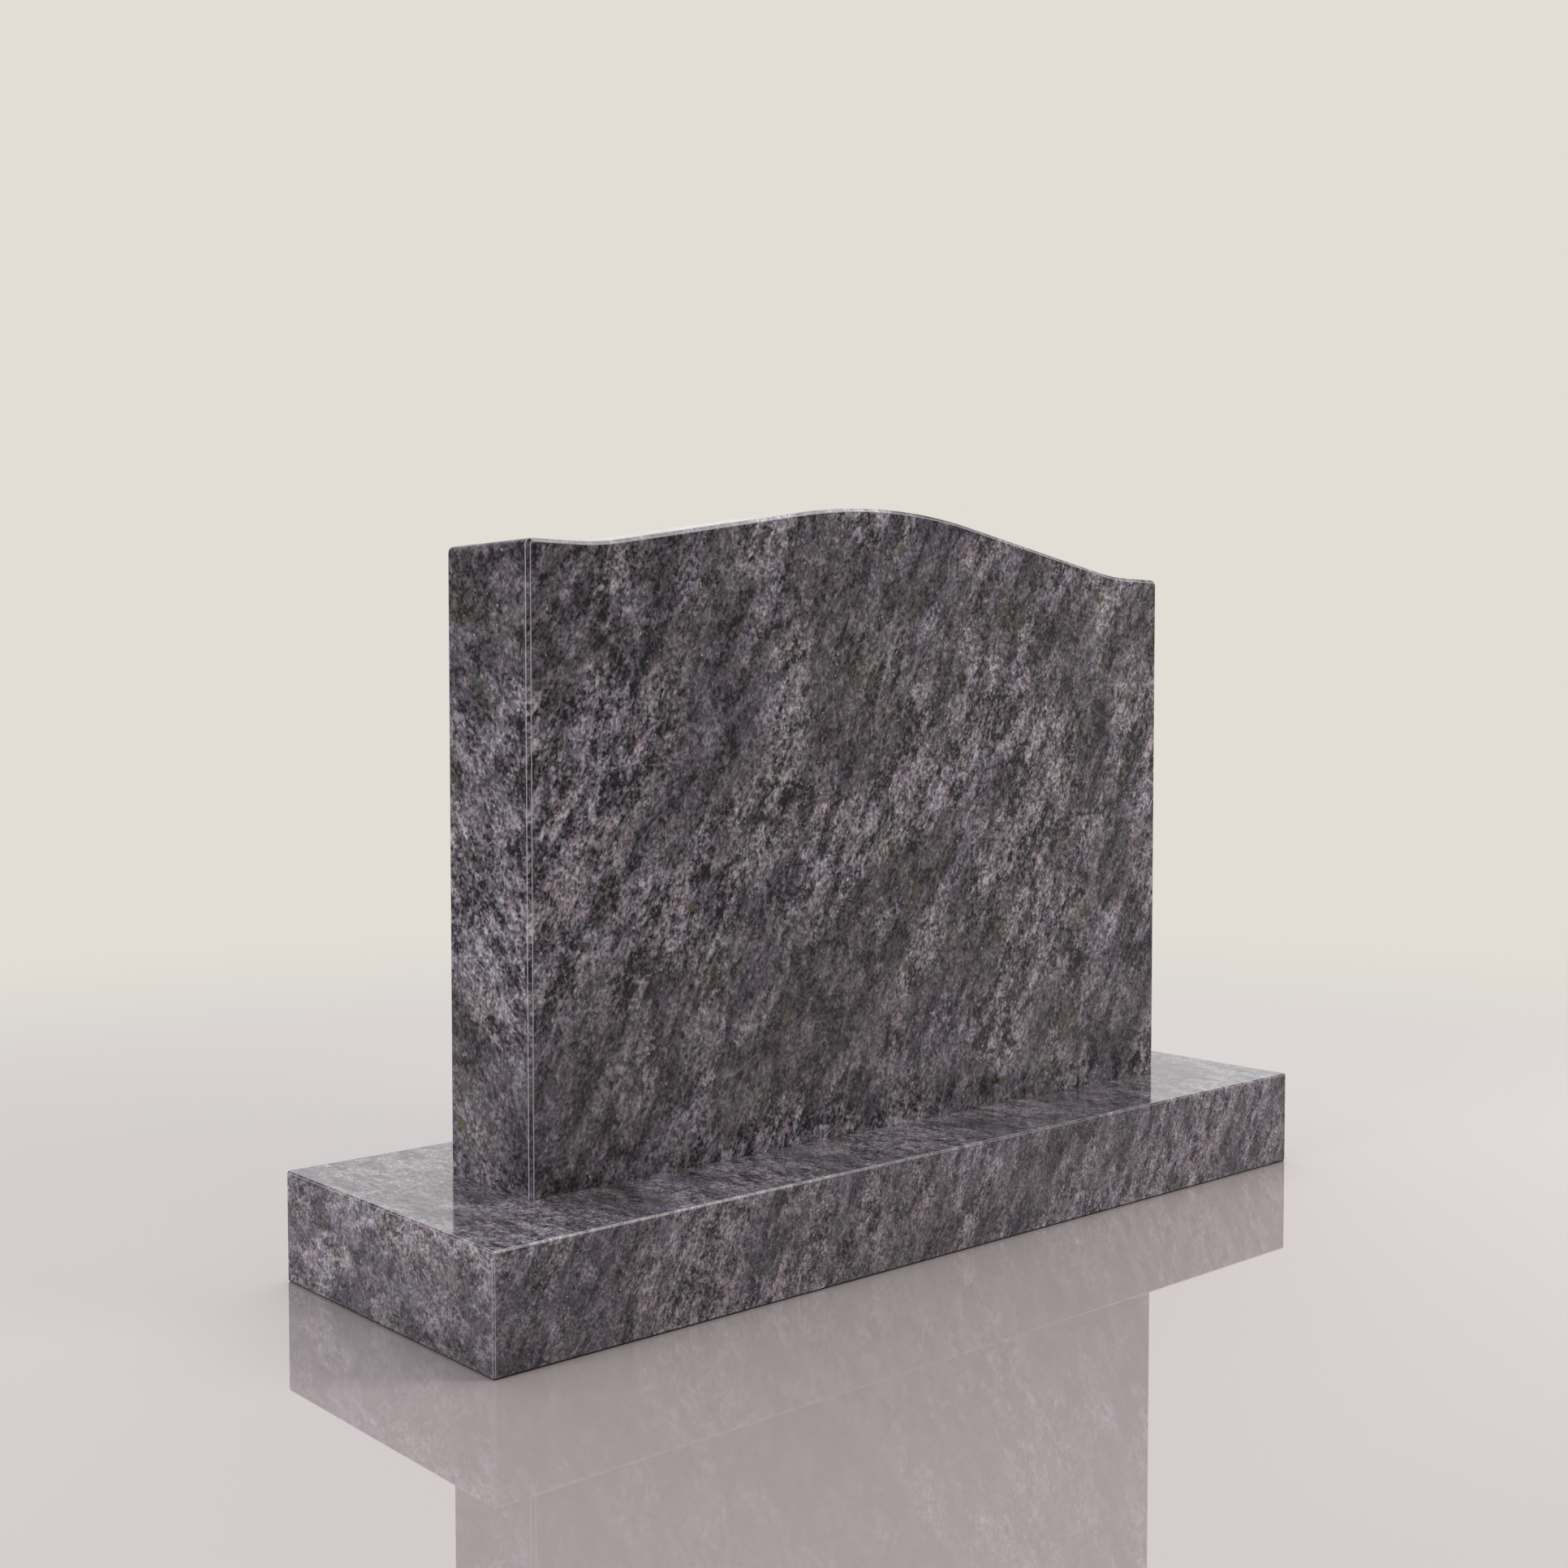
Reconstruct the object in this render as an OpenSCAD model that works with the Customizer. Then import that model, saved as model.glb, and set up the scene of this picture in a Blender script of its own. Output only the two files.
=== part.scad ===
// Upright memorial: a stone tablet with a serpentine top, standing on a rectangular stone base.
// Both stones carry a narrow 45-degree arris. Neither has an inscription.
// Millimetres. X runs along the base, -Y is the inscription side and +Z is up.
// The origin is the middle of the base's underside.

/* [Base] */
// Length of the base along X
base_l = 1000; // [850:10:1300]
// Depth of the base from front to back
base_w = 320; // [200:5:450]
// Height of the base
base_h = 95; // [50:5:200]
// Width of the arris on every edge of the base
base_arris = 1.5; // [1:0.5:8]

/* [Tablet] */
// Width of the tablet along X
tablet_w = 800; // [600:10:960]
// Thickness of the tablet from front to back
tablet_t = 120; // [80:5:180]
// Height of the level shoulders above the base
shoulder_h = 527; // [300:1:900]
// Width of the arris along the tablet's front and back outlines
tablet_arris = 3; // [1:0.5:5]

/* [Serpentine top] */
// Rise of the crown above the shoulders
crown_rise = 48; // [26:1:80]
// Length of the round crown on each side of the middle
crown_run = 110; // [80:5:140]
// Length of the hollow sweep between each ramp and its shoulder
sweep_run = 48; // [30:1:70]
// Length of each level shoulder, with its rounded corner
shoulder_l = 46; // [20:1:70]
// Radius of the rounded corner at the outer end of each shoulder
corner_r = 6; // [6:1:15]

/* [Hidden] */
$fn = 96;

// A curve meets the straight run beside it at this angle, in degrees. It is too fine a ridge
// to see or feel, and it lets each cut end cleanly on the next.
ease = 0.5;
corner_ease = 3;
// How far a curved cut stands off the points that it joins
clean = 0.002;
// How far a cutter runs past its edge
lap = 1;

half_w = tablet_w / 2;
sweep_end = half_w - shoulder_l;
ramp_run = sweep_end - sweep_run - crown_run;
crown_z = shoulder_h + crown_rise;

// The ramp's slope, from the rise. The crown and the hollow sweep climb at about half the
// ramp's angle: the whole rise is (crown_run + sweep_run) * u + ramp_run * 2u / (1 - u^2),
// where u is the tangent of half the angle, less what the ridge beside the crown takes off.
function half_slope(u, tries) =
    tries == 0 ? u
    : let (lost = crown_run * (u - tan(atan(u) - ease / 2)))
        half_slope(
            (crown_rise + lost) / (crown_run + sweep_run + 2 * ramp_run / (1 - u * u)),
            tries - 1
        );
u = half_slope(0.1, 20);
ramp_a = 2 * atan(u);

// Half the angle that each curve turns through
crown_half = ramp_a - ease;
sweep_half = ramp_a / 2 + ease;
corner_half = 45 - corner_ease;

// Points of the outline on the right, as [X, height above the base]
foot = [half_w, 0];
side_top = [half_w, shoulder_h - corner_r];
corner = [half_w, shoulder_h];
shoulder_out = [half_w - corner_r, shoulder_h];
shoulder_in = [sweep_end, shoulder_h];
ramp_foot = [sweep_end - sweep_run, shoulder_h + sweep_run * u];
ramp_head = [crown_run, crown_z - crown_run * tan(crown_half / 2)];
peak = [0, ramp_head[1] + crown_run * tan(ramp_a)];

function flip(p) = [-p[0], p[1]];
function along(a, b) = (b - a) / norm(b - a);

// Going from a to b the stone lies on the left, so this points out of it.
function outward(a, b) = [along(a, b)[1], -along(a, b)[0]];

// Radius and centre of the arc from a to b that turns through twice the angle half.
// side is 1 for an arc that is round and -1 for one that is hollow.
function arc_r(a, b, half) = norm(b - a) / 2 / sin(half);
function arc_c(a, b, half, side) =
    (a + b) / 2 - side * outward(a, b) * arc_r(a, b, half) * cos(half);

// A block over the chord from a to b: it runs past each end by more, and from low to high
// measured out of the stone.
module over_chord(a, b, more, low, high) {
    d = along(a, b);
    n = outward(a, b);
    polygon([
        a - d * more + n * low, b + d * more + n * low,
        b + d * more + n * high, a - d * more + n * high
    ]);
}

// What is taken off a sharp corner to leave the round arc from a to b
module round_off(a, b, half, gap) {
    r = arc_r(a, b, half);
    difference() {
        over_chord(a, b, r * sin(gap), -lap, norm(b - a));
        translate(arc_c(a, b, half, 1)) circle(r);
    }
}

// What is taken off the chord from a to b to leave the hollow arc
module hollow_out(a, b, half) {
    intersection() {
        over_chord(a, b, lap, -norm(b - a) / 4, norm(b - a) / 4);
        translate(arc_c(a, b, half, -1)) circle(arc_r(a, b, half) + clean);
    }
}

// The tablet's face
module outline() {
    difference() {
        polygon([
            foot, corner, shoulder_in, ramp_foot, peak,
            flip(ramp_foot), flip(shoulder_in), flip(corner), flip(foot)
        ]);
        round_off(ramp_head, flip(ramp_head), crown_half, ease);
        for (m = [0, 1]) mirror([m, 0]) {
            round_off(side_top, shoulder_out, corner_half, corner_ease);
            hollow_out(shoulder_in, ramp_foot, sweep_half);
        }
    }
}

// Section of the cut that leaves an arris c wide on a stone t thick. The edge is at X = 0,
// with the stone on the -X side.
module arris_section(c, t) {
    polygon([[-c - lap, t / 2 + lap], [lap, t / 2 + lap], [lap, t / 2 - c - lap]]);
}

// Takes the arris off the straight edge from a to b
module straight_arris(a, b, c, t) {
    d = along(a, b);
    translate(a - d * lap)
        rotate([0, 0, atan2(d[1], d[0])])
            rotate([90, 0, 90])
                linear_extrude(norm(b - a) + 2 * lap)
                    mirror([1, 0]) arris_section(c, t);
}

// Takes the arris off the arc from a to b, and runs past each end by the angle gap
module arc_arris(a, b, half, side, gap, c, t) {
    n = side * outward(a, b);
    r = arc_r(a, b, half) + clean;
    translate(arc_c(a, b, half, side))
        rotate_extrude(start = atan2(n[1], n[0]) - half - gap, angle = 2 * (half + gap))
            translate([r, 0])
                mirror([side < 0 ? 1 : 0, 0]) arris_section(c, t);
}

// Takes the arris off the whole outline of one face
module face_arris(c, t) {
    for (m = [0, 1]) mirror([m, 0, 0]) {
        straight_arris(foot, side_top, c, t);
        arc_arris(side_top, shoulder_out, corner_half, 1, corner_ease, c, t);
        straight_arris(shoulder_out, shoulder_in, c, t);
        arc_arris(shoulder_in, ramp_foot, sweep_half, -1, ease, c, t);
        straight_arris(ramp_foot, ramp_head, c, t);
    }
    arc_arris(ramp_head, flip(ramp_head), crown_half, 1, ease, c, t);
}

// Section of a block w by h with an arris c wide on its four long edges
module bevelled(w, h, c) {
    x = w / 2;
    y = h / 2;
    polygon([
        [x - c, -y], [x, -y + c], [x, y - c], [x - c, y],
        [-x + c, y], [-x, y - c], [-x, -y + c], [-x + c, -y]
    ]);
}

// The block that the tablet stands on. Three bevelled prisms cross, so all twelve edges
// have the same arris.
module base() {
    color([0.29, 0.28, 0.30])
        translate([0, 0, base_h / 2])
            intersection() {
                linear_extrude(base_h, center = true)
                    bevelled(base_l, base_w, base_arris);
                rotate([90, 0, 0])
                    linear_extrude(base_w, center = true)
                        bevelled(base_l, base_h, base_arris);
                rotate([90, 0, 90])
                    linear_extrude(base_l, center = true)
                        bevelled(base_w, base_h, base_arris);
            }
}

// The upright stone. Its foot has no arris, so that the joint on the base closes tight.
module tablet() {
    color([0.35, 0.34, 0.36])
        translate([0, 0, base_h])
            rotate([90, 0, 0])
                difference() {
                    linear_extrude(tablet_t, center = true) outline();
                    face_arris(tablet_arris, tablet_t);
                    mirror([0, 0, 1]) face_arris(tablet_arris, tablet_t);
                }
}

base();
tablet();
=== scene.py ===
# %% [markdown]
# # A polished granite headstone
# The object is two stones. A flat block of granite, the base, lies on the ground. An
# upright slab, the tablet, stands on it, with a gently waved top that masons call a
# serpentine. A headstone could be modelled as one closed mesh, but the real one is set
# from two stones that are sawn and polished apart, so each stone is a piece of its own
# here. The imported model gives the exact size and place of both, and everything below is
# measured from it.

# %% Load the frame
from math import atan, cos, degrees, pi, radians, sin

import bmesh
import bpy
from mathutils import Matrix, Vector


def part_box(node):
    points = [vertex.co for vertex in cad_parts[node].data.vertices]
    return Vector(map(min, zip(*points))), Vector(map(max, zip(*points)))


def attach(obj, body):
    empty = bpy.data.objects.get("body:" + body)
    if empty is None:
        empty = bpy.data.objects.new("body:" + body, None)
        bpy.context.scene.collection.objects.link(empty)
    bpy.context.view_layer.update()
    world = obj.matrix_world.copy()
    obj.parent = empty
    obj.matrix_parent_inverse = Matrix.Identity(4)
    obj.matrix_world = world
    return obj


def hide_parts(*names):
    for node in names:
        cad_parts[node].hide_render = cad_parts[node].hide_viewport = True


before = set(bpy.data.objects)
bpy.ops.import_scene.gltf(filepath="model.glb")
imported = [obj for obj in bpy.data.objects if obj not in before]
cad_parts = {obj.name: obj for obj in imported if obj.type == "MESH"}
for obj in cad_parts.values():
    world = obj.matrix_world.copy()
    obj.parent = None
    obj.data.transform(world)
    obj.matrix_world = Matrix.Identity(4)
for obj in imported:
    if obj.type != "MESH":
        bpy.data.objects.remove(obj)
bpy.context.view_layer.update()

MM = 0.001
base_low, base_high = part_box("base")
tablet_low, tablet_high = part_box("tablet")
print("base", [round(v / MM) for v in base_high - base_low], "mm")
print("tablet", [round(v / MM) for v in tablet_high - tablet_low], "mm")

# %% [markdown]
# ## The outline of a serpentine top
# A mason draws this top with two flat shoulders, a round crown in the middle, and a
# straight ramp on each side that runs out of the crown and into the shoulder through a
# hollow sweep. It could be drawn as a free curve, but then its slopes would only be right
# by eye. Here every part is an arc or a straight run, and each one starts in the direction
# in which the last one ends. One unknown is left, the slope of the ramp. A few rounds of a
# simple sum find it from the rise of the crown.

# %% Draw the tablet's outline
SHOULDER_LENGTH = 46 * MM
SWEEP_RUN = 48 * MM
CROWN_RUN = 110 * MM
CROWN_RISE = 48 * MM
CORNER_RADIUS = 6 * MM
CORNER_STEPS, SWEEP_STEPS, CROWN_STEPS = 8, 12, 24
FIRST_GUESS = 0.1
ROUNDS = 20  # far more than the slope needs to settle

half_width = (tablet_high.x - tablet_low.x) / 2
shoulder_z = tablet_high.z - CROWN_RISE
ramp_run = half_width - SHOULDER_LENGTH - SWEEP_RUN - CROWN_RUN


def half_slope():
    """The tangent of half the ramp's angle: both curves climb at this slope on average."""
    slope = FIRST_GUESS
    for _ in range(ROUNDS):
        slope = CROWN_RISE / (CROWN_RUN + SWEEP_RUN + 2 * ramp_run / (1 - slope * slope))
    return slope


def arc(centre, radius, start, end, steps):
    """Points on an arc, as (x, z). Angles are in radians, from +X towards +Z."""
    angles = [start + (end - start) * i / steps for i in range(steps + 1)]
    return [(centre[0] + radius * cos(a), centre[1] + radius * sin(a)) for a in angles]


def serpentine():
    """The tablet's outline, anticlockwise as seen from the front, from the right foot."""
    quarter = pi / 2
    ramp = 2 * atan(half_slope())
    crown_radius = CROWN_RUN / sin(ramp)
    sweep_radius = SWEEP_RUN / sin(ramp)
    corner = (half_width - CORNER_RADIUS, shoulder_z - CORNER_RADIUS)
    sweep = (half_width - SHOULDER_LENGTH, shoulder_z + sweep_radius)
    crown = (0, tablet_high.z - crown_radius)
    right = [(half_width, tablet_low.z)]
    right += arc(corner, CORNER_RADIUS, 0, quarter, CORNER_STEPS)
    right += arc(sweep, sweep_radius, -quarter, -quarter - ramp, SWEEP_STEPS)
    right += arc(crown, crown_radius, quarter - ramp, quarter, CROWN_STEPS)
    left = [(-x, z) for x, z in reversed(right[:-1])]
    print("ramp", round(degrees(ramp), 2), "degrees, crown radius",
          round(crown_radius / MM), "mm, sweep radius", round(sweep_radius / MM), "mm")
    return right + left


tablet_outline = serpentine()
base_outline = [
    (base_high.x, base_low.z), (base_high.x, base_high.z),
    (base_low.x, base_high.z), (base_low.x, base_low.z),
]
print(len(tablet_outline), "points in the tablet's outline")

# %% [markdown]
# ## Sawn slabs with dressed edges
# Both stones start as sawn slabs with sharp edges. A sharp granite edge chips, so the mason
# takes it off at 45 degrees with a narrow flat called an arris, and the polisher's pads
# then round the two fine lines where that flat meets the faces. Those lines are what
# catches the light on a real headstone. A bump map could fake them, but it would be gone
# from the outline and from a close view, so they are cut into the mesh: one bevel of one
# segment makes the flat, and a second small one of three segments rounds its two lines.
# The tablet's foot gets no arris, because it closes on the base with a tight joint.
#
# A stone isn't finished alike all round, and one mesh can hold several materials, so each
# face carries the number of its finish. The bevels hand out the first two numbers as they
# cut, and the rest follow from the way that a face points. Splitting the mesh by finish
# would do the same, but then each stone would no longer be one closed piece.

# %% Cut a slab and dress its edges
ROUNDED_SHARE = 1 / 6  # how much of the arris each of its two rounded lines takes
ROUNDED_SEGMENTS = 3
ROUND_PROFILE = 0.5  # a circle's arc, where 0 would be a groove and 1 a square corner
SHARP = radians(20)  # an edge that turns by more than this still feels sharp
SQUARE_ON = 0.99  # the least share of its normal that counts as pointing straight one way
UNDERCUT = 0.1  # the least share of its normal that counts as leaning over
SAME_HEIGHT = 0.001 * MM
# The second finish is a pale painted highlight on the rounded lines, the last a painted contact
# shadow on the slant that faces the ground
FINISHES = ["polished", "painted_highlight", "sawn", "honed", "contact_shadow"]
POLISHED, PAINTED_HIGHLIGHT, SAWN, HONED, CONTACT_SHADOW = range(len(FINISHES))


def sawn_slab(outline, front_y, back_y):
    """A slab with this outline in X and Z, with flat faces at front_y and back_y."""
    slab = bmesh.new()
    front = [slab.verts.new((x, front_y, z)) for x, z in outline]
    back = [slab.verts.new((x, back_y, z)) for x, z in outline]
    slab.faces.new(front)
    slab.faces.new(reversed(back))
    for i in range(len(outline)):
        j = (i + 1) % len(outline)
        slab.faces.new((front[j], front[i], back[i], back[j]))
    slab.normal_update()
    return slab


def sharp_edges(slab, keep_z=None):
    """The edges that still feel sharp, but not those that lie wholly at the height keep_z."""
    found = []
    for edge in slab.edges:
        kept = keep_z is not None and all(
            abs(corner.co.z - keep_z) < SAME_HEIGHT for corner in edge.verts)
        if edge.calc_face_angle() > SHARP and not kept:
            found.append(edge)
    return found


def dress(slab, arris, keep_z=None):
    """Takes the arris off the slab's sharp edges and rounds the two lines that it leaves."""
    flat = (arris, 1, POLISHED)
    # the rounded lines get the pale film of a painted highlight
    rounds = (arris * ROUNDED_SHARE, ROUNDED_SEGMENTS, PAINTED_HIGHLIGHT)
    for width, segments, finish in (flat, rounds):
        bmesh.ops.bevel(
            slab, geom=sharp_edges(slab, keep_z), offset=width, segments=segments,
            profile=ROUND_PROFILE, affect="EDGES", offset_type="OFFSET",
            clamp_overlap=False, material=finish,
        )
        slab.normal_update()


def sort_faces(slab):
    """The bed stays sawn, the slant beside it gets a painted contact shadow, the back is honed.
    """
    for face in slab.faces:
        if face.normal.z < -SQUARE_ON:
            face.material_index = SAWN
        # faces that lean over towards the ground get the painted contact shadow
        elif face.normal.z < -UNDERCUT:
            face.material_index = CONTACT_SHADOW
        elif face.normal.y > SQUARE_ON:
            face.material_index = HONED


def finish_stone(name, slab, keep_z=None):
    """Turns the slab into a piece that shades flat on its faces and soft on its lines."""
    sort_faces(slab)
    mesh = bpy.data.meshes.new(name)
    foot = sharp_edges(slab) if keep_z is not None else []
    for face in slab.faces:
        face.smooth = True
    for edge in foot:
        edge.smooth = False
    slab.to_mesh(mesh)
    slab.free()
    for finish in FINISHES:
        mesh.materials.append(bpy.data.materials.new(name + " " + finish))
    stone = bpy.data.objects.new(name, mesh)
    bpy.context.scene.collection.objects.link(stone)
    weighted = stone.modifiers.new("flat faces stay flat", "WEIGHTED_NORMAL")
    weighted.keep_sharp = True
    evaluated = stone.evaluated_get(bpy.context.evaluated_depsgraph_get())
    stone.data = bpy.data.meshes.new_from_object(evaluated)
    stone.data.name = name
    stone.modifiers.clear()
    print(name, len(stone.data.polygons), "faces")
    return stone


# %% [markdown]
# ## The two stones
# The tablet is the serpentine outline, as deep as the slab is thick. The base is a plain
# block. A Cube primitive with a Bevel modifier would look much the same for the base, but
# with one workshop for both stones the arris and its rounded lines come out alike.

# %% Make the tablet and the base
TABLET_ARRIS = 3 * MM
BASE_ARRIS = 1.5 * MM

tablet_slab = sawn_slab(tablet_outline, tablet_low.y, tablet_high.y)
dress(tablet_slab, TABLET_ARRIS, keep_z=tablet_low.z)
tablet = finish_stone("tablet_stone", tablet_slab, keep_z=tablet_low.z)

base_slab = sawn_slab(base_outline, base_low.y, base_high.y)
dress(base_slab, BASE_ARRIS)
base = finish_stone("base_stone", base_slab)

# %% [markdown]
# ## Building shader nodes in code
# Every finish below is procedural: noise and cell patterns that are worked out from the
# place on the stone, so they run through the block and meet at the corners as real mineral
# does. Image textures would show a seam at each edge. A few small helpers keep the node code
# short. They add a node and wire its inputs in the same line, do a sum, mix two colours or
# map a range, and they open and place node groups with named inputs and outputs.

# %% Helpers for nodes
def add(tree, kind, inputs=None, **settings):
    """Adds a node. inputs maps a socket's name or number to a value or an output socket."""
    node = tree.nodes.new("ShaderNode" + kind)
    for name, value in settings.items():
        setattr(node, name, value)
    for socket, value in (inputs or {}).items():
        if isinstance(value, bpy.types.NodeSocket):
            tree.links.new(value, node.inputs[socket])
        else:
            node.inputs[socket].default_value = value
    return node


def math(tree, operation, *values):
    """The output of a Math node that works on these values or sockets."""
    return add(tree, "Math", dict(enumerate(values)), operation=operation).outputs[0]


def mix_colours(tree, factor, first, second, blend="MIX"):
    """The output of a colour Mix node: second lies over first by factor."""
    node = add(tree, "Mix", data_type="RGBA", blend_type=blend)
    for name, value in (("Factor", factor), ("A", first), ("B", second)):
        socket = [s for s in node.inputs if s.name == name and s.enabled][0]
        if isinstance(value, bpy.types.NodeSocket):
            tree.links.new(value, socket)
        else:
            socket.default_value = value
    return [s for s in node.outputs if s.enabled][0]


def ramp(tree, value, low, high, bottom=0.0, top=1.0, smooth=True):
    """Maps value from low..high to bottom..top."""
    kind = "SMOOTHSTEP" if smooth else "LINEAR"
    inputs = {"Value": value, 1: low, 2: high, 3: bottom, 4: top}
    return add(tree, "MapRange", inputs, interpolation_type=kind).outputs[0]


def new_group(name, inputs, outputs):
    """A node group with these sockets, given as {name: default} and {name: kind}."""
    kinds = {float: "NodeSocketFloat", tuple: "NodeSocketVector", list: "NodeSocketColor"}
    tree = bpy.data.node_groups.new(name, "ShaderNodeTree")
    for label, default in inputs.items():
        socket = tree.interface.new_socket(
            label, in_out="INPUT", socket_type=kinds[type(default)])
        socket.default_value = default
    for label, kind in outputs.items():
        tree.interface.new_socket(label, in_out="OUTPUT", socket_type="NodeSocket" + kind)
    return tree, tree.nodes.new("NodeGroupInput").outputs, tree.nodes.new("NodeGroupOutput")


def use_group(tree, group, inputs):
    """Places a node group in a tree, with its own values, and gives its outputs."""
    node = tree.nodes.new("ShaderNodeGroup")
    node.node_tree = group
    for label, value in inputs.items():
        if isinstance(value, bpy.types.NodeSocket):
            tree.links.new(value, node.inputs[label])
        else:
            node.inputs[label].default_value = value
    return node.outputs


# %% [markdown]
# ## The lie of the stone
# This granite was squeezed while it was hot, so its minerals lie in layers, and each face
# of a block shows the layers as streaks, slanted by the way that the block was cut. It
# could be done with a different streak angle on every face. It is simpler and truer to turn
# the space that the patterns live in, so that its own Z runs across the layers, and to
# squeeze it along that Z. Every face then shows the right streaks by itself. A slow warp
# first bends the layers a little, because they are never quite flat.

# %% Group: lie of the stone
NOWHERE = (0.0, 0.0, 0.0)
SLOW_SWELL = {"Scale": 5.0, "Detail": 2.0}
MIDDLE_OF_NOISE = (0.5, 0.5, 0.5)


def make_lie():
    tree, given, out = new_group(
        "lie of the stone",
        {"Place": NOWHERE, "Turn": NOWHERE, "Shift": NOWHERE, "Bend": 0.0, "Thinness": 1.0},
        {"Vector": "Vector"},
    )
    moved = add(tree, "VectorMath", {0: given["Place"], 1: given["Shift"]}).outputs[0]
    swell = add(tree, "TexNoise", {"Vector": moved, **SLOW_SWELL}).outputs["Color"]
    centred = add(tree, "VectorMath", {0: swell, 1: MIDDLE_OF_NOISE},
                  operation="SUBTRACT").outputs[0]
    scaled = add(tree, "VectorMath", {0: centred, "Scale": given["Bend"]},
                 operation="SCALE").outputs[0]
    bent = add(tree, "VectorMath", {0: moved, 1: scaled}).outputs[0]
    turned = add(tree, "Mapping", {"Vector": bent, "Rotation": given["Turn"]},
                 vector_type="TEXTURE").outputs[0]
    squeeze = add(tree, "CombineXYZ", {0: 1.0, 1: 1.0, 2: given["Thinness"]}).outputs[0]
    layered = add(tree, "VectorMath", {0: turned, 1: squeeze}, operation="MULTIPLY")
    tree.links.new(layered.outputs[0], out.inputs["Vector"])
    return tree


lie_of_the_stone = make_lie()


# %% [markdown]
# ## Noise and cells
# Two patterns do nearly all the work in a stone. Cloudy noise gives whatever fades, from
# broad clouds to streaks, and it is easiest to add up when it swings evenly about zero.
# Cells give whatever has an edge, such as a crystal, because each cell has random numbers
# of its own and a distance from its middle. Further down, a noise is written as three
# numbers: about how many blobs there are to a metre, how many finer octaves lie over them,
# and how strong those are. A soft step is written as from and to, and then the lowest and
# the highest value that comes out, unless these are 0 and 1.

# %% Patterns
DRAWN_OUT = (0.4, 0.4, 1.0)
PLACES = {"Fine": NOWHERE, "Layered": NOWHERE, "Banded": NOWHERE}


def noise(tree, where, scale, detail, roughness):
    """Cloudy noise that swings about zero."""
    inputs = {"Vector": where, "Scale": scale, "Detail": detail, "Roughness": roughness}
    return math(tree, "SUBTRACT", add(tree, "TexNoise", inputs).outputs[0], 0.5)


def stepped(tree, where, pattern):
    """Noise under a soft step, which gives flat parts with firm edges."""
    cloudy, step = pattern
    return ramp(tree, noise(tree, where, *cloudy), *step)


def cells(tree, where, scale):
    """The distance from each cell's middle, and a random number for each cell."""
    node = add(tree, "TexVoronoi", {"Vector": where, "Scale": scale})
    numbers = add(tree, "SeparateColor", {0: node.outputs["Color"]})
    return node.outputs["Distance"], numbers.outputs[0]


def stretched(tree, where):
    """The same layers, with everything in them drawn out much longer."""
    inputs = {0: where, 1: DRAWN_OUT}
    return add(tree, "VectorMath", inputs, operation="MULTIPLY").outputs[0]


# %% [markdown]
# ## Dark and pale minerals
# Close up, this granite is a dense mix of pale feldspar and dark mica, one to five
# millimetres across. Farther off, the grains gather into streaks and patches, and these
# into broad clouds. One big noise with many octaves would give every size the same shape.
# Real grains are nearly round, the streaks are long, and the patches are pale sheets with
# dark gaps between them, so each size gets a pattern of its own here. A sheet is flat and
# its edge is firm, which is what a soft step over a noise makes. All of the patterns add
# up to one number, the tone, which is about 0 where the stone is darkest and 1 where it is
# palest. Dark clouds are quieter than pale ones, so the clouds also set how strongly the
# smaller marks show.

# %% Group: granite tone
STREAKS = (55.0, 2.0, 0.8)
STREAKY_BANDS = ((4.0, 1.0, 0.5), (-0.12, 0.12, 0.15, 1.0))
PALE_SHEETS = ((18.0, 3.0, 0.7), (-0.10, 0.05, -0.28, 0.12))
GRIT = (75.0, 2.0, 0.9)
GRIT_STRENGTH = 1.25
CRYSTALS = ((200.0, 0.42), (380.0, 0.66))  # cells to a metre, strength
MICA_BLOTS = ((62.0, 1.0, 0.6), (0.06, 0.10))
MICA_CLUSTERS = ((13.0, 1.0, 0.5), (-0.06, 0.10))
MICA_DEPTH = -0.28
CLOUD_SWING = (-0.105, 0.105)
CLOUDS = ((5.0, 3.0, 0.7), (-0.09, 0.09, *CLOUD_SWING))
MARKS_IN_CLOUDS = (0.66, 1.08)


def make_granite_tone():
    tree, given, out = new_group(
        "granite tone", {**PLACES, "Middle": 0.5, "Contrast": 1.0}, {"Tone": "Float"})
    fine, layered, banded = given["Fine"], given["Layered"], given["Banded"]

    # Long streaks show in some bands only
    streaks = noise(tree, stretched(tree, layered), *STREAKS)
    marks = math(tree, "MULTIPLY", streaks, stepped(tree, banded, STREAKY_BANDS))
    marks = math(tree, "ADD", stepped(tree, layered, PALE_SHEETS), marks)
    marks = math(tree, "MULTIPLY_ADD", noise(tree, fine, *GRIT), GRIT_STRENGTH, marks)
    for scale, strength in CRYSTALS:
        crystal = math(tree, "SUBTRACT", cells(tree, fine, scale)[1], 0.5)
        marks = math(tree, "MULTIPLY_ADD", crystal, strength, marks)

    # Blots of mica, in clusters
    blots = stepped(tree, fine, MICA_BLOTS)
    mica = math(tree, "MULTIPLY", blots, stepped(tree, banded, MICA_CLUSTERS))
    marks = math(tree, "MULTIPLY_ADD", mica, MICA_DEPTH, marks)

    # Broad clouds: the pale ones are also the more strongly marked
    clouds = stepped(tree, banded, CLOUDS)
    strength = ramp(tree, clouds, *CLOUD_SWING, *MARKS_IN_CLOUDS)
    strength = math(tree, "MULTIPLY", strength, given["Contrast"])
    tone = math(tree, "ADD", clouds, given["Middle"])
    tone = math(tree, "MULTIPLY_ADD", marks, strength, tone)
    tree.links.new(tone, out.inputs["Tone"])
    return tree


granite_tone = make_granite_tone()
print("granite tone:", len(granite_tone.nodes), "nodes")

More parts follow.
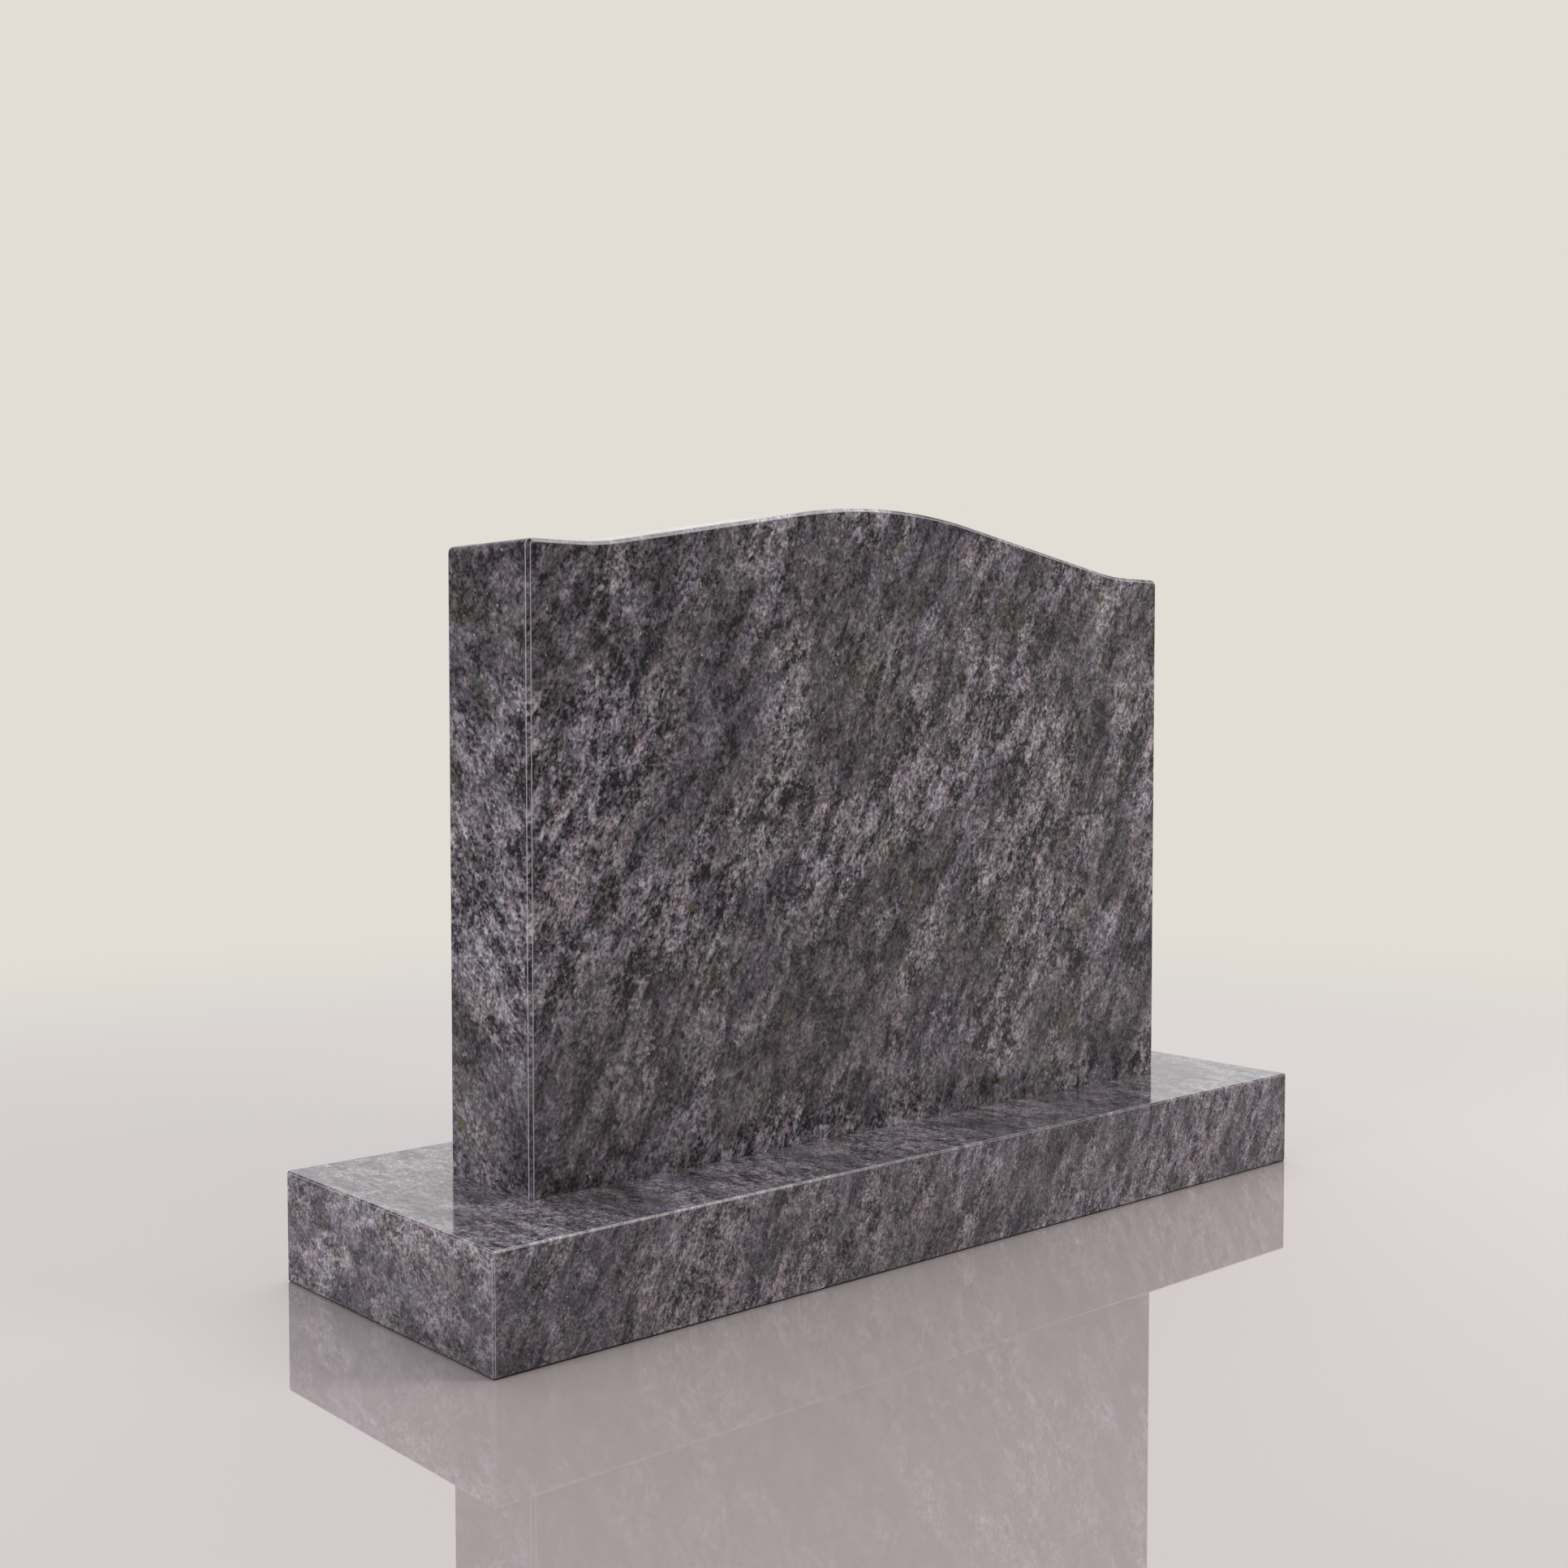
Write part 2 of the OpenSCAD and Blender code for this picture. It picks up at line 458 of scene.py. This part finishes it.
# %% [markdown]
# ## The colours of the minerals
# The stone looks grey from far away and mauve from close up. Its feldspar is a greyish
# rose, its mica is nearly black, and thin veils of olive and lavender drift across both.
# A colour picked for each cell would look like terrazzo. A colour ramp over the tone keeps
# the minerals in family, and three faint tints, each with its own clouds, then pull it
# off the ramp by a few parts in a hundred, which is all that it takes to look natural.

# %% Group: granite colour
TONE_ENDS = (-0.4, 1.4)
DARKEST = (0.0050, 0.0040, 0.0055, 1.0)
PALEST = (0.4100, 0.3700, 0.3950, 1.0)
MINERALS = (
    (0.25, (0.0120, 0.0100, 0.0130, 1.0)),
    (0.50, (0.0792, 0.0712, 0.0795, 1.0)),
    (0.75, (0.2190, 0.1960, 0.2130, 1.0)),
)
OLIVE = (0.96, 1.04, 0.85, 1.0)
LAVENDER = (0.96, 0.985, 1.08, 1.0)
ROSE = (1.06, 0.965, 1.00, 1.0)
OLIVE_VEIL = ((14.0, 3.0, 0.7), (0.0, 0.12))
OLIVE_BY_TONE = (0.30, 0.75, 1.0, 0.25)
LAVENDER_VEIL = ((8.0, 4.0, 0.8), (-0.03, 0.10))
ROSE_VEIL = ((34.0, 3.0, 0.8), (-0.02, 0.10))


def make_granite_colour():
    tree, given, out = new_group(
        "granite colour", {"Tone": 0.5, **PLACES}, {"Color": "Color"})
    tone = given["Tone"]
    along_ramp = ramp(tree, tone, *TONE_ENDS, smooth=False)
    minerals = add(tree, "ValToRGB", {0: along_ramp})
    stops = minerals.color_ramp.elements
    stops[0].color = DARKEST
    stops[1].color = PALEST
    for place, shade in MINERALS:
        stops.new(place).color = shade

    # The olive veil stays mostly in the dark parts
    olive = stepped(tree, given["Layered"], OLIVE_VEIL)
    olive = math(tree, "MULTIPLY", olive, ramp(tree, tone, *OLIVE_BY_TONE))
    lavender = stepped(tree, given["Banded"], LAVENDER_VEIL)
    rose = stepped(tree, given["Fine"], ROSE_VEIL)
    colour = minerals.outputs[0]
    for veil, tint in ((olive, OLIVE), (lavender, LAVENDER), (rose, ROSE)):
        colour = mix_colours(tree, veil, colour, tint, "MULTIPLY")
    tree.links.new(colour, out.inputs["Color"])
    return tree


granite_colour = make_granite_colour()
print("granite colour:", len(granite_colour.nodes), "nodes")

# %% [markdown]
# ## Specks and healed cracks
# A few things stand out of the mix: tiny sparks of quartz in loose clusters, a rare olive
# grain as big as a pea, and hair-thin pale lines where an old crack healed. Scattered
# objects or decals could stand for them, but they are part of the stone and must run on
# round its corners. Sparks and grains are the middles of a few cells, picked by the cell's
# random number. A healed crack is where a slow noise crosses zero, which draws long lines
# that bend a little and never end in a corner.

# %% Group: specks and healed cracks
QUARTZ = (0.42, 0.42, 0.47, 1.0)
OLIVE_GRAIN = (0.076, 0.067, 0.038, 1.0)
HEALED = (0.25, 0.24, 0.25, 1.0)
# Cells to a metre, the step over the distance from the middle, and the step over the pick
SPARKS = (150.0, (0.10, 0.20, 1.0, 0.0), (0.50, 1.00))
GRAINS = (21.0, (0.07, 0.14, 1.0, 0.0), (0.80, 0.82))
SPARK_CLUSTERS = ((22.0, 2.0, 0.7), (-0.02, 0.14))
CRACKS = (7.0, 1.0, 0.4)
CRACK_WIDTH = (0.0, 0.006, 0.30, 0.0)
CRACKED_PARTS = ((6.0, 0.0, 0.5), (0.05, 0.15))


def middles(tree, where, kind):
    """The middles of the few cells that the pick lets through."""
    scale, near_middle, picked = kind
    distance, pick = cells(tree, where, scale)
    return math(tree, "MULTIPLY", ramp(tree, distance, *near_middle), ramp(tree, pick, *picked))


def make_specks():
    tree, given, out = new_group(
        "specks and healed cracks", {"Color": [*QUARTZ], **PLACES}, {"Color": "Color"})
    fine, layered, banded = given["Fine"], given["Layered"], given["Banded"]

    sparks = middles(tree, fine, SPARKS)
    sparks = math(tree, "MULTIPLY", sparks, stepped(tree, banded, SPARK_CLUSTERS))
    grains = middles(tree, fine, GRAINS)
    off_line = math(tree, "ABSOLUTE", noise(tree, stretched(tree, layered), *CRACKS))
    lines = ramp(tree, off_line, *CRACK_WIDTH)
    lines = math(tree, "MULTIPLY", lines, stepped(tree, banded, CRACKED_PARTS))
    colour = given["Color"]
    for mask, shade in ((sparks, QUARTZ), (grains, OLIVE_GRAIN), (lines, HEALED)):
        colour = mix_colours(tree, mask, colour, shade)
    tree.links.new(colour, out.inputs["Color"])
    return tree


specks = make_specks()
print("specks and healed cracks:", len(specks.nodes), "nodes")

# %% [markdown]
# ## Marks of the tools
# The sides that show are polished. The back is honed, which is one step short of a polish.
# The undersides, where the stones are bedded, are left as they came off the saw, rough and
# full of shallow grooves. Each finish could have a height pattern of its own, but they
# differ only in depth and in the grooves. So one pattern serves all of them: pits
# everywhere, and grooves only where the stone is still sawn.

# %% Group: marks of the tools
PITS = (500.0, 1.0, 0.5)
SAW_GROOVES = {"Scale": 60.0, "Distortion": 1.5, "Detail": 2.0}


def make_tool_marks():
    tree, given, out = new_group(
        "marks of the tools", {"Place": NOWHERE, "Grooves": 0.0}, {"Height": "Float"})
    pits = noise(tree, given["Place"], *PITS)
    waves = {"Vector": given["Place"], **SAW_GROOVES}
    grooves = add(tree, "TexWave", waves, bands_direction="Y").outputs["Fac"]
    height = math(tree, "MULTIPLY_ADD", grooves, given["Grooves"], pits)
    tree.links.new(height, out.inputs["Height"])
    return tree


tool_marks = make_tool_marks()

# %% [markdown]
# ## Five finishes for one stone
# Wet polishing darkens granite, so the less a side is finished, the more it shows the pale dust
# of broken grains. The rounded lines get a pale film as a painted highlight, and the slant that
# faces the ground gets a near-black film as a painted contact shadow. Five separate stones
# could be mixed for this.
# One recipe with a thin film over it is closer to the truth, and it keeps the grains
# running through from one finish into the next. Dark mica polishes less well than pale
# feldspar, so the tone also sets how rough each spot is. In the table, rough is the
# roughness of the darkest and of the palest spots, and relief is in millimetres.

# %% Finishes
# Pale dust of broken grains on the sawn and honed sides, and a pale painted highlight on the
# rounded lines
DUST_AND_HIGHLIGHT = (0.36, 0.35, 0.37, 1.0)
# Near-black film painted on the slant under the base's bottom edge as a contact shadow
SHADOW_BLACK = (0.004, 0.004, 0.004, 1.0)
GRANITE_REFRACTION = 1.55
DARK_TO_PALE = (0.2, 0.8)
SURFACES = {
    "polished": {"film": (DUST_AND_HIGHLIGHT, 0.00), "rough": (0.14, 0.06), "relief": 0.02, "grooves": 0.0},
    # The rounded lines: a pale film painted on as a highlight
    "painted_highlight": {"film": (DUST_AND_HIGHLIGHT, 0.60), "rough": (0.45, 0.35), "relief": 0.10, "grooves": 0.0},
    "sawn": {"film": (DUST_AND_HIGHLIGHT, 0.60), "rough": (0.90, 0.80), "relief": 0.40, "grooves": 1.0},
    "honed": {"film": (DUST_AND_HIGHLIGHT, 0.15), "rough": (0.45, 0.35), "relief": 0.10, "grooves": 0.0},
    # The slant that faces the ground: a painted contact shadow
    "contact_shadow": {"film": (SHADOW_BLACK, 0.90), "rough": (0.70, 0.60), "relief": 0.10, "grooves": 0.0},
}


# How each pattern lies: across the layers or the bands, its bend, and how thin it is drawn
LIES = {
    "Fine": ("layers", 0.0, 1.35),
    "Layered": ("layers", 0.02, 2.9),
    "Banded": ("bands", 0.05, 2.5),
}


def facing(normal):
    """The turn that points the Z axis along normal."""
    return tuple(Vector(normal).to_track_quat("Z", "Y").to_euler())


def cut_granite(material, surface, block):
    """Fills a material with the granite of this block, in one of the five finishes."""
    material.use_nodes = True
    tree = material.node_tree
    shader = tree.nodes["Principled BSDF"]
    on_stone = add(tree, "TexCoord").outputs["Object"]
    place = add(tree, "VectorMath", {0: on_stone, "Scale": block["fineness"]},
                operation="SCALE").outputs[0]

    where = {}
    for name, (across, bend, thinness) in LIES.items():
        inputs = {"Place": place, "Turn": facing(block[across]), "Shift": block["shift"],
                  "Bend": bend, "Thinness": 1.0 + (thinness - 1.0) * block["layering"]}
        where[name] = use_group(tree, lie_of_the_stone, inputs)["Vector"]
    tone_at = {**where, "Middle": block["middle"], "Contrast": block["contrast"]}
    tone = use_group(tree, granite_tone, tone_at)["Tone"]
    colour = use_group(tree, granite_colour, {**where, "Tone": tone})["Color"]
    colour = use_group(tree, specks, {**where, "Color": colour})["Color"]
    film_colour, film = surface["film"]
    if film:
        colour = mix_colours(tree, film, colour, film_colour)
    tree.links.new(colour, shader.inputs["Base Color"])
    roughness = ramp(tree, tone, *DARK_TO_PALE, *surface["rough"])
    tree.links.new(roughness, shader.inputs["Roughness"])
    shader.inputs["IOR"].default_value = GRANITE_REFRACTION
    marks = {"Place": on_stone, "Grooves": surface["grooves"]}
    height = use_group(tree, tool_marks, marks)["Height"]
    bump = add(tree, "Bump", {"Height": height, "Distance": surface["relief"] * MM})
    tree.links.new(bump.outputs[0], shader.inputs["Normal"])


# %% [markdown]
# ## Two blocks from one quarry
# The tablet and the base are the same granite, but they were sawn from different places
# and turned different ways, so their streaks don't run on from one into the other. Each
# block therefore has its own shift into the pattern, and its own directions across the
# layers and the broad bands. The base is also finer, paler and quieter, and its layers are
# less drawn out, as the next slab from a quarry often is. Everything else is shared. One
# block for both would be simpler, but the streaks would run across the joint.

# %% Materials of the two stones
# Middle is the mean tone. The other three multiply: how fine the grains are, how far the
# layers are drawn out, and how strongly the marks show.
TABLET_BLOCK = {
    "layers": (-0.83, -0.30, 0.44), "bands": (-0.76, -0.28, 0.48),
    "shift": (0.41, -2.41, 2.57), "layering": 1.0, "fineness": 1.0, "middle": 0.51,
    "contrast": 1.0,
}
BASE_BLOCK = {
    "layers": (-0.84, 0.00, 0.42), "bands": (-0.80, 0.00, 0.50),
    "shift": (3.10, 1.70, 0.40), "layering": 0.85, "fineness": 1.50, "middle": 0.61,
    "contrast": 0.88,
}
for stone, block in ((tablet, TABLET_BLOCK), (base, BASE_BLOCK)):
    for finish, material in zip(FINISHES, stone.data.materials):
        cut_granite(material, SURFACES[finish], block)
        print(material.name, len(material.node_tree.nodes), "nodes")

# %% [markdown]
# ## Standing in for the imported model
# The imported nodes carry the exact shape but no rounded lines. They could be kept and given
# these materials, but then the arrises would be knife-sharp. Each finished stone takes the
# place of its node instead, and rides on the one body that the object has.

# %% Put the stones in place
for stone, node, slot in ((tablet, "tablet", "tablet_stone"), (base, "base", "base_stone")):
    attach(stone, "root")
    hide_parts(node)
    print(stone.name, "stands for", node)

# %% [markdown]
# ## A pale polished floor
# The stone stands on a plain pale floor with enough polish to mirror it. A square plane
# would end in a hard line behind the object. A disc whose edge fades out lets the floor
# melt into the light behind it, and it costs one face. A waxed floor mirrors best at a low
# angle, and looked at from above it only glows, so the roughness follows the angle. One
# smooth value would show the brightest part of the room as a white pool in views from above.

# %% Floor
FLOOR_RADIUS = 2.4
CLEAR_RADIUS = 1.0
FLOOR_COLOUR = (0.347, 0.299, 0.294, 1.0)
FLOOR_ROUGHNESS = (0.60, 0.01)  # from above and at a low angle
LOW_ANGLE = (0.40, 0.55)  # it turns into a mirror here, from 0 face on to 1 edge on
FLOOR_REFRACTION = 3.0
DISC_SIDES = 96


def floor_material():
    material = bpy.data.materials.new("pale floor")
    material.use_nodes = True
    tree = material.node_tree
    shader = tree.nodes["Principled BSDF"]
    shader.inputs["Base Color"].default_value = FLOOR_COLOUR
    shader.inputs["IOR"].default_value = FLOOR_REFRACTION
    facing_away = add(tree, "LayerWeight").outputs["Facing"]
    roughness = ramp(tree, facing_away, *LOW_ANGLE, *FLOOR_ROUGHNESS)
    tree.links.new(roughness, shader.inputs["Roughness"])
    place = add(tree, "TexCoord").outputs["Object"]
    distance = add(tree, "VectorMath", {0: place}, operation="LENGTH").outputs["Value"]
    solid = ramp(tree, distance, CLEAR_RADIUS, FLOOR_RADIUS, 1.0, 0.0)
    tree.links.new(solid, shader.inputs["Alpha"])
    return material


disc = bmesh.new()
bmesh.ops.create_circle(disc, cap_ends=True, segments=DISC_SIDES, radius=FLOOR_RADIUS)
floor_mesh = bpy.data.meshes.new("studio_floor")
disc.to_mesh(floor_mesh)
disc.free()
floor_mesh.materials.append(floor_material())
floor = bpy.data.objects.new("studio_floor", floor_mesh)
bpy.context.scene.collection.objects.link(floor)
print("floor", FLOOR_RADIUS, "m in radius")

# %% [markdown]
# ## Softboxes
# Large soft lights keep the shadows faint, as in a stone yard's showroom, where small
# lamps would throw hard ones. The overhead box is a little cool and makes most of the
# light on the tops. The left box picks out the end, and the warm box is close to the
# right and high, so that the front grows warmer and lighter towards the right. Polished
# stone and a polished floor also mirror the lights, and a bright panel in them would burn
# out whole faces in some views. So the softboxes light the scene without being mirrored,
# and the world below has what the polish mirrors. Strength here is how bright a panel
# looks, so it doesn't change with the panel's size.

# %% Lights
WHITE = (1.0, 1.0, 1.0)
COOL = (0.92, 0.97, 1.08)
WARM = (1.0, 0.97, 0.94)
TABLET_MIDDLE = (0.0, 0.0, 0.6)
POWER_FOR_BRIGHTNESS = pi ** 2  # in watts for each square metre of panel
# Name, place, what it faces, width and height, strength, colour
SOFTBOXES = (
    ("overhead softbox", (0.3, 0.6, 2.7), (0.3, 0.6, 0.0), (3.2, 2.6), 1.0, COOL),
    ("left softbox", (-3.0, -0.1, 1.0), TABLET_MIDDLE, (1.2, 2.0), 3.4, WHITE),
    ("front softbox", (-0.3, -3.2, 1.0), TABLET_MIDDLE, (1.2, 2.0), 0.75, WHITE),
    ("warm softbox", (1.3, -1.6, 1.45), (0.1, 0.0, 0.35), (0.9, 0.9), 5.0, WARM),
)


def softbox(name, place, target, size, strength, colour):
    """A flat rectangular light that faces target. It isn't seen, directly or mirrored."""
    panel = bpy.data.lights.new(name, "AREA")
    panel.shape = "RECTANGLE"
    panel.size, panel.size_y = size
    panel.color = colour
    panel.energy = strength * size[0] * size[1] * POWER_FOR_BRIGHTNESS
    box = bpy.data.objects.new(name, panel)
    box.location = place
    aim = Vector(target) - Vector(place)
    box.rotation_euler = aim.to_track_quat("-Z", "Y").to_euler()
    box.visible_camera = False
    box.visible_glossy = False
    bpy.context.scene.collection.objects.link(box)
    print(name, round(panel.energy), "W")


for row in SOFTBOXES:
    softbox(*row)

# %% [markdown]
# ## The room around it
# Everything that no softbox covers comes from the world. A single grey would fill the
# mirrors in the stone with flat fog. Here the room glows behind the object, where the top
# of the base and the floor mirror it at a low angle, a little warm light comes in from the
# right, and the rest is dim. A bright patch high on the right is there for mirrors only: the
# arrises along the top catch it, and it draws the light line that tells polish from paint.
# Its rim is soft, so it never shows as a hard shape in the floor. The camera itself sees one
# plain pale backdrop.

# %% World
VIEW_TURN = radians(41.529)
# Unit vectors that point into the room
BEHIND = (sin(VIEW_TURN), cos(VIEW_TURN), 0.0)
FROM_RIGHT = (0.966, -0.259, 0.0)
HIGH_ON_RIGHT = (0.50, -0.06, 0.864)
ROOM_GLOW = (0.35, 0.85, 0.16, 1.0)
WARMTH = (0.70, 1.0, 0.0, 0.30)
BRIGHT_PATCH = (0.94, 0.97, 0.0, 3.1)
GLOW_COLOUR = (1.0, 0.985, 0.96, 1.0)
WARM_COLOUR = (1.0, 0.80, 0.50, 1.0)
BACKDROP = (0.76, 0.73, 0.665, 1.0)


def make_world():
    world = bpy.data.worlds.new("studio")
    bpy.context.scene.world = world
    world.use_nodes = True
    tree = world.node_tree
    tree.nodes.clear()
    out = add(tree, "OutputWorld")
    direction = add(tree, "TexCoord").outputs["Generated"]

    def towards(axis):
        inputs = {0: direction, 1: axis}
        return add(tree, "VectorMath", inputs, operation="DOT_PRODUCT").outputs["Value"]

    glow = ramp(tree, towards(BEHIND), *ROOM_GLOW)
    warm = ramp(tree, towards(FROM_RIGHT), *WARMTH)
    tint = mix_colours(tree, warm, GLOW_COLOUR, WARM_COLOUR)
    path = add(tree, "LightPath").outputs
    patch = ramp(tree, towards(HIGH_ON_RIGHT), *BRIGHT_PATCH)
    mirrored = math(tree, "MULTIPLY", patch, path["Is Glossy Ray"])
    strength = math(tree, "ADD", math(tree, "ADD", glow, warm), mirrored)
    lit = add(tree, "Background", {"Color": tint, "Strength": strength})
    seen = add(tree, "Background", {"Color": BACKDROP, "Strength": 1.0})
    shaders = {0: path["Is Camera Ray"], 1: lit.outputs[0], 2: seen.outputs[0]}
    both = add(tree, "MixShader", shaders)
    tree.links.new(both.outputs[0], out.inputs["Surface"])


make_world()
bpy.context.scene.view_settings.view_transform = "Standard"

# %% [markdown]
# ## The camera
# A three-quarter view from the left shows the front, one end and the top of the base in one
# picture. A view square on would hide the end and the depth of the base. The camera stands
# a little below the top of the stone and dips very little, which keeps the upright lines
# nearly parallel, and it turns by the angle that the glow behind the object already uses.

# %% Camera
FOCAL_LENGTH = 43.589
SENSOR_WIDTH = 36.0
STANDPOINT = (-1.2423, -1.31545, 0.49179)
VIEW_DIP = radians(2.45)

lens = bpy.data.cameras.new("camera")
lens.lens = FOCAL_LENGTH
lens.sensor_width = SENSOR_WIDTH
camera = bpy.data.objects.new("camera", lens)
camera.location = STANDPOINT
camera.rotation_euler = (radians(90) - VIEW_DIP, 0.0, -VIEW_TURN)
bpy.context.scene.collection.objects.link(camera)
bpy.context.scene.camera = camera
print("camera", round(camera.location.length, 2), "m from the middle of the foot")
